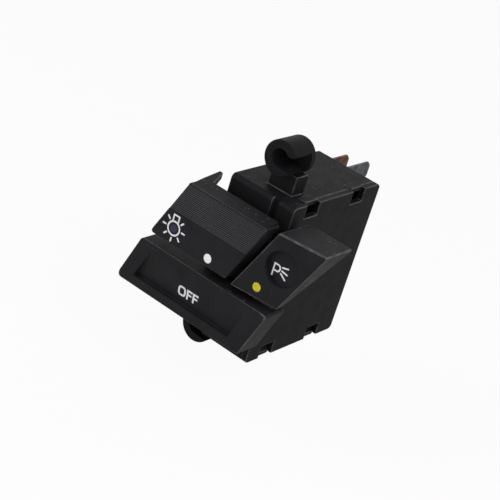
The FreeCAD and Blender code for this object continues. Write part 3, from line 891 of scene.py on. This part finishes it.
class SWITCH_OT_headlight_key(bpy.types.Operator):
    """Makes the headlight key with its ribs, its lamp mark, its indicator and its slider"""

    bl_idname = "switch.headlight_key"
    bl_label = "Headlight Key"

    def shape_cap(self, sizes):
        """A shell with a sunk band for the ribs, a roof that climbs back and a claw on its left."""
        left, right, lean = HEADLIGHT_LEFT, HEADLIGHT_LEFT + HEADLIGHT_WIDTH, HEADLIGHT_SHIFT
        low, crest = HEADLIGHT_BOTTOM, HEADLIGHT_BOTTOM + HEADLIGHT_HEIGHT
        outline = [(left, low), (right, low), (right + lean, crest), (left + lean, crest)]
        cap = work_on(prism(softened(outline, (0.8, 0.8, 0.8, 0.0)), "front", 0.0, 6.4))
        roof = [(1.2, -2.4), (13.6, -0.2), (13.6, 1.7), (6.4, 0.8), (0.5, -0.25)]
        roof = [(y, crest + up) for y, up in roof]
        shape(cap, "UNION", prism(roof, "side", left + lean + 0.05, right + lean - 1.2))
        beside_claw = [(21.1, 6.4), (60.0, 6.4), (60.0, 16.0), (18.5, 16.0), (18.5, 13.6)]
        shape(cap, "DIFFERENCE", prism(beside_claw, "top", crest - 4.0, crest + 4.0))
        thin, thick = 1.6, 2.2
        inside = [(left + thick, low + thin), (right - thin, low + thin)]
        inside += [(right + lean - thick, crest - thin), (left + lean + thin, crest - thin)]
        shape(cap, "DIFFERENCE", prism(inside, "front", 2.0, 9.0))
        sunk = block(-1.0, GROOVE_START, sizes.rib_height / MM, GROOVE_END)
        shape(cap, "DIFFERENCE", prism(sunk, "side", 0.0, 60.0))
        shape(cap, "DIFFERENCE", prism(circle(*WHITE_LENS, 1.5), "front", -1.0, 3.0))
        return finish_form(cap, "headlight_key_cap", sizes.key_edge, KEY_WEAR_AND_HIGHLIGHT, self.in_band)

    @staticmethod
    def in_band(x, y, z):
        in_ribs = GROOVE_START - 0.6 < z < GROOVE_END + 0.1 and y < 0.25
        return in_ribs or math.dist((x, z), WHITE_LENS) < 2.0

    def execute(self, context):
        sizes = context.scene.switch_sizes
        cap = self.shape_cap(sizes)
        self.mark_lamp(cap, sizes)
        own(cap, "headlight_cap", "headlight_key", "key_plastic")
        self.rib_grip(sizes)
        make_lens("white_indicator", "white_lens", "headlight_key", "white_plastic")
        make_slider("headlight", sizes)
        return {"FINISHED"}

    def mark_lamp(self, cap, sizes):
        """A lamp seen from the front: a ring, its socket above and seven rays."""
        x, z, body = 16.0, 24.8, "headlight_key"
        line = sizes.stroke / MM
        mark = Mark(cap)
        mark.ring(circle(x, z, 2.5), circle(x, z, 1.95))
        half, foot, reach = 1.05, z + 2.15, 4.25
        top = z + reach
        mark.line([(x - half, foot), (x - half, top), (x + half, top), (x + half, foot)], line)
        for degrees in (0, 45, 135, 180, 225, 270, 315):
            start, end = (around(x, z, far, degrees) for far in (3.2, reach))
            mark.filled(bar(start, end, line * 1.1))
        mark.printed("lamp_mark", "ink", body)
        centre = Mark(cap)
        centre.filled(circle(x, z, 1.3))
        centre.printed("lamp_mark_centre", "lamp_ink", body)

    def rib_grip(self, sizes):
        """Fills the sunk band with round ribs whose tops are level with the face, in a lighter copy
        of the key's plastic that is a painted highlight.
        """
        z = GROOVE_START + GROOVE_PITCH / 2
        x = HEADLIGHT_LEFT + HEADLIGHT_LEAN * (z - HEADLIGHT_BOTTOM)
        inset, half_width = 0.25, 0.27
        values = {
            "Count": GROOVES,
            "Start": place(x + inset, sizes.rib_height / MM, z),
            "Step": Vector((GROOVE_PITCH * HEADLIGHT_LEAN, 0, GROOVE_PITCH)) * MM,
            "Length": (HEADLIGHT_WIDTH - 2 * inset) * MM,
            "Width": GROOVE_PITCH * half_width * MM,
            "Height": sizes.rib_height,
            # The ribs' lighter plastic is a painted highlight.
            "Material": FINISHES["key_rib"],
        }
        carried(grown("grip_ribs", rib_tree(), values, "key_rib"), "headlight_key")


class SWITCH_OT_parking_key(bpy.types.Operator):
    """Makes the parking light key with its dish, its mark, its indicator and its slider"""

    bl_idname = "switch.parking_key"
    bl_label = "Parking Key"

    def shape_cap(self, sizes):
        """The modelled shell with the thin ledge that shows below it."""
        cap = part_copy("parking_cap")
        ledge = [(42.2, 18.0), (54.9, 18.0), (55.6, 19.9), (42.9, 19.9)]
        shape(cap, "UNION", prism(ledge, "front", 2.4, 3.7))
        edge = sizes.key_edge
        return finish_form(cap, "parking_key_cap", edge, KEY_WEAR_AND_HIGHLIGHT, self.in_dish, quiet_share=0.0)

    @staticmethod
    def in_dish(x, y, z):
        return math.dist((x, z), (54.6, 31.4)) < 6.3 or math.dist((x, z), YELLOW_LENS) < 2.0

    def execute(self, context):
        sizes = context.scene.switch_sizes
        cap = self.shape_cap(sizes)
        line = sizes.stroke / MM
        mark = Mark(cap)
        stem = [(51.25, 27.55), (51.25, 31.55)]
        bow = [(52.6, 31.55), (53.2, 31.3), (53.45, 30.6), (53.3, 29.9), (52.8, 29.5)]
        mark.line(stem + bow + [(51.45, 29.5)], line)
        for start, end in (
            ((54.1, 31.42), (56.05, 31.95)),
            ((54.15, 30.38), (56.2, 30.02)),
            ((54.05, 29.45), (55.95, 28.25)),
        ):
            mark.filled(bar(start, end, line))
        own(cap, "parking_cap", "parking_key", "key_plastic")
        mark.printed("parking_mark", "ink", "parking_key")
        make_lens("yellow_indicator", "yellow_lens", "parking_key", "yellow_plastic")
        make_slider("parking", sizes)
        return {"FINISHED"}


def clip_outline(x, z):
    """A clip from the front: a ring open to the right over a flat tongue."""
    points = arc(x, z, CLIP_RADIUS, 30.0, 295.0, 59) + arc(x, z, BORE_RADIUS, 255.0, -213.0, 28)
    tongue = ((2.6, 1.72), (3.3, 1.6), (4.1, 1.72), (4.7, 2.1))
    return points + [(x + across, z + up) for across, up in tongue]


def rounded_end(outline, rounding, steps):
    """A solid whose front or rear edge is rounded by small steps inwards."""
    loops = []
    for share, depth in steps:
        inner = stroke(outline, 2 * rounding * share, closed=True)[0] if share else outline
        loops.append([place(x, depth, z) for x, z in inner])
    mesh = loft(loops)
    for side in mesh.polygons:
        # The rounded steps take the edge finish, partly worn plastic and partly a painted
        # highlight.
        side.material_index = 1 if 0.2 < abs(side.normal.y) < 0.98 else 0
    return mesh


class SWITCH_OT_housing(bpy.types.Operator):
    """Makes the housing with its two clips, its side cover and the latch bar inside"""

    bl_idname = "switch.housing"
    bl_label = "Housing"

    def clip(self, sizes, centre, front, post_left, post_low, post_high):
        """An open ring with a closed web behind it, on a post that is set back from its front."""
        edge = sizes.case_edge / MM
        rise = ((1.0, 0.0), (0.5, 0.13), (0.13, 0.5), (0.0, 1.0))
        ring_back, web_front, web_back = front + 8.6, front + 8.4, front + 10.5
        steps = [(share, front + edge * step) for share, step in rise] + [(0.0, ring_back)]
        ring = work_on(rounded_end(clip_outline(*centre), edge, steps))
        steps = [(0.0, web_front)] + [(share, web_back - edge * step) for share, step in rise[::-1]]
        shape(ring, "UNION", rounded_end(circle(*centre, CLIP_RADIUS, 72), edge, steps))
        post = block(post_left, post_low, centre[0] + 5.15, post_high)
        shape(ring, "UNION", prism(post, "front", front + 4.3, front + 10.17))
        return ring

    @staticmethod
    def in_clip(x, y, z):
        return min(math.dist((x, z), centre) for centre in (UPPER_CLIP, LOWER_CLIP)) < 5.8

    def execute(self, context):
        sizes = context.scene.switch_sizes
        case = part_copy("housing")
        old_lower = [(20.0, -14.0), (40.0, -14.0), (40.0, -7.5), (30.0, -7.5), (30.0, 4.6)]
        old_lower += [(24.0, 4.6), (24.0, 5.2), (20.0, 5.2)]
        for old_clip in (block(30.0, 46.0, 44.0, 66.0), old_lower):
            shape(case, "DIFFERENCE", prism(old_clip, "front", 9.6, 24.0))
        for ring in (
            self.clip(sizes, UPPER_CLIP, 11.3, 32.9, 45.6, 52.2),
            self.clip(sizes, LOWER_CLIP, 10.2, 24.3, -1.3, 5.0),
        ):
            shape(case, "UNION", ring.data)
            bpy.data.objects.remove(ring)
        # The edge finish here is partly worn plastic and partly a painted highlight.
        edge, rubbed, black = sizes.case_edge, ("case", "case_edge"), ("housing", "black_plastic")
        case = finish_form(case, "switch_housing", edge, rubbed, self.in_clip, quiet_share=0.0)
        own(case, "housing", *black)
        dress("side_cover", "housing_side_cover", edge, rubbed, *black)
        dress("latch_bar", "latch_strip", sizes.metal_edge, ("steel",) * 2, "latch", "spring_steel")
        return {"FINISHED"}


class SWITCH_OT_metal_parts(bpy.types.Operator):
    """Makes the eight blades and the two wiping contacts"""

    bl_idname = "switch.metal_parts"
    bl_label = "Blades and Contacts"

    def execute(self, context):
        edge = context.scene.switch_sizes.metal_edge
        for number in range(1, 9):
            finish, slot = ("copper", "copper_alloy") if number <= 4 else ("tin", "tinned_blade")
            node, name = "terminal_%d" % number, "blade_%d" % number
            dress(node, name, edge, (finish,) * 2, "housing", slot)
        for key in ("headlight", "parking"):
            node, name = key + "_contact", key + "_wiper"
            dress(node, name, edge, ("copper",) * 2, key + "_key", "copper_alloy")
        return {"FINISHED"}


class SWITCH_OT_springs(bpy.types.Operator):
    """Winds the three return springs and the latch spring"""

    bl_idname = "switch.springs"
    bl_label = "Springs"

    def execute(self, context):
        sizes = context.scene.switch_sizes
        tree = coil_tree()
        for node, joint, upright in (
            ("headlight_spring", "headlight_press", False),
            ("parking_spring", "parking_press", False),
            ("off_spring", "off_press", False),
            ("latch_spring", "latch_slide", True),
        ):
            low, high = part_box(node)
            size = high - low
            wire = sizes.coil_wire / 2
            tall = size.z if upright else size.y
            wide = min(size.x, size.y if upright else size.z)
            values = {
                "Turns": sizes.coil_turns * tall / COUNTED_SPRING,
                "Radius": wide / 2 - wire,
                "Length": tall - 2 * wire,
                "Wire": wire,
                "Material": FINISHES["steel"],
            }
            spring = grown(node.replace("_spring", "_coil"), tree, values, "steel")
            middle = (low + high) / 2
            if upright:
                spring.data.transform(Matrix.Translation((middle.x, middle.y, low.z + wire)))
            else:
                spring.data.transform(Matrix.Rotation(-math.pi / 2, 4, "X"))
                spring.data.transform(Matrix.Translation((middle.x, low.y + wire, middle.z)))
            for side in spring.data.polygons:
                side.use_smooth = len(side.vertices) < 5
            own(spring, node, "housing", "spring_steel")
            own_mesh(spring)
        return {"FINISHED"}


class SWITCH_OT_stage(bpy.types.Operator):
    """Sets up the camera, the lights and the pale floor"""

    bl_idname = "switch.stage"
    bl_label = "Studio"

    def execute(self, context):
        studio = context.scene.switch_studio
        self.place_camera(context, studio)
        self.light_world(context, studio)
        self.add_lamp("Key light", studio.key_light, 0.5, (0.42, -0.16, 0.42))
        self.add_lamp("Fill light", studio.fill_light, 0.6, (-0.45, -0.4, 0.25))
        self.lay_floor(studio)
        context.scene.view_settings.view_transform = "Standard"
        return {"FINISHED"}

    def place_camera(self, context, studio):
        camera = bpy.data.objects.new("Camera", bpy.data.cameras.new("Camera"))
        context.scene.collection.objects.link(camera)
        right, up = Vector(studio.camera_right), Vector(studio.camera_up)
        back = right.cross(up)
        turn = Matrix((right, up, back)).transposed().to_4x4()
        camera.matrix_world = Matrix.Translation(studio.camera_at) @ turn
        camera.data.lens = studio.lens
        camera.data.sensor_width = 36.0
        camera.data.clip_start = 0.01
        camera.data.clip_end = 20.0
        context.scene.camera = camera

    def add_lamp(self, name, power, size, at):
        lamp = bpy.data.lights.new(name, "AREA")
        lamp.energy = power
        lamp.size = size
        holder = bpy.data.objects.new(name, lamp)
        bpy.context.scene.collection.objects.link(holder)
        holder.location = at
        holder.rotation_euler = Vector(at).to_track_quat("Z", "Y").to_euler()

    def light_world(self, context, studio):
        """Even light from all sides, with a white surround for what the camera or a gloss sees."""
        world = bpy.data.worlds.new("Studio")
        world.use_nodes = True
        context.scene.world = world
        tree = world.node_tree
        tree.nodes.clear()
        path = add_node(tree, "ShaderNodeLightPath").outputs
        seen = maths(tree, "MAXIMUM", path["Is Camera Ray"], path["Is Glossy Ray"])
        clear = maths(tree, "MAXIMUM", seen, path["Is Transmission Ray"])
        strength = band(tree, clear, 0.0, 1.0, studio.sky, 1.0)
        white = {"Color": (1.0, 1.0, 1.0, 1.0), "Strength": strength}
        sky = result(tree, "ShaderNodeBackground", white)
        add_node(tree, "ShaderNodeOutputWorld", {"Surface": sky})

    def lay_floor(self, studio):
        """A wide pale floor that shows white to the camera but keeps a soft shadow."""
        level, half = cad_box[0][2] - studio.floor_drop, 1.5
        mesh = bpy.data.meshes.new("Floor")
        corners = [(x, y, level) for x, y in block(-half, -half, half, half)]
        mesh.from_pydata(corners, [], [(0, 1, 2, 3)])
        floor = bpy.data.objects.new("Floor", mesh)
        bpy.context.scene.collection.objects.link(floor)
        material, tree, shader, where = new_material("Floor")
        pale = tuple(bpy.context.scene.switch_colours.floor)
        base = mix(tree, clouds(tree, where, 6.0), scaled(pale, 0.97), pale)
        feed(shader, {"Base Color": base, "Roughness": 0.9})
        path = add_node(tree, "ShaderNodeLightPath").outputs
        glow = result(tree, "ShaderNodeEmission", {"Strength": 1.0})
        share = band(tree, path["Is Camera Ray"], 0.0, 1.0, 0.0, 0.92)
        both = result(tree, "ShaderNodeMixShader", {0: share, 1: shader.outputs[0], 2: glow})
        feed(tree.nodes["Material Output"], {"Surface": both})
        mesh.materials.append(material)


class SWITCH_PT_panel(bpy.types.Panel):
    """Lists the steps that build the switch"""

    bl_idname = "SWITCH_PT_panel"
    bl_label = "Headlight Switch"
    bl_space_type = "VIEW_3D"
    bl_region_type = "UI"
    bl_category = "Switch"

    def draw(self, context):
        column = self.layout.column()
        for step in STEPS:
            column.operator(step.bl_idname)
        for label in GROUPS:
            group = getattr(context.scene, label)
            for name in group.__annotations__:
                column.prop(group, name)


STEPS = (
    SWITCH_OT_stage,
    SWITCH_OT_off_key,
    SWITCH_OT_headlight_key,
    SWITCH_OT_parking_key,
    SWITCH_OT_housing,
    SWITCH_OT_metal_parts,
    SWITCH_OT_springs,
)
GROUPS = {
    "switch_sizes": SwitchSizes,
    "switch_colours": SwitchColours,
    "switch_studio": SwitchStudio,
}
CLASSES = (*GROUPS.values(), *STEPS, SWITCH_PT_panel)


def register():
    for cls in CLASSES:
        bpy.utils.register_class(cls)
    for label, group in GROUPS.items():
        setattr(bpy.types.Scene, label, PointerProperty(type=group))


def unregister():
    for label in GROUPS:
        delattr(bpy.types.Scene, label)
    for cls in reversed(CLASSES):
        bpy.utils.unregister_class(cls)


def main():
    register()
    make_finishes()
    for step in STEPS:
        group, name = step.bl_idname.split(".")
        getattr(getattr(bpy.ops, group), name)()


if __name__ == "__main__":
    main()
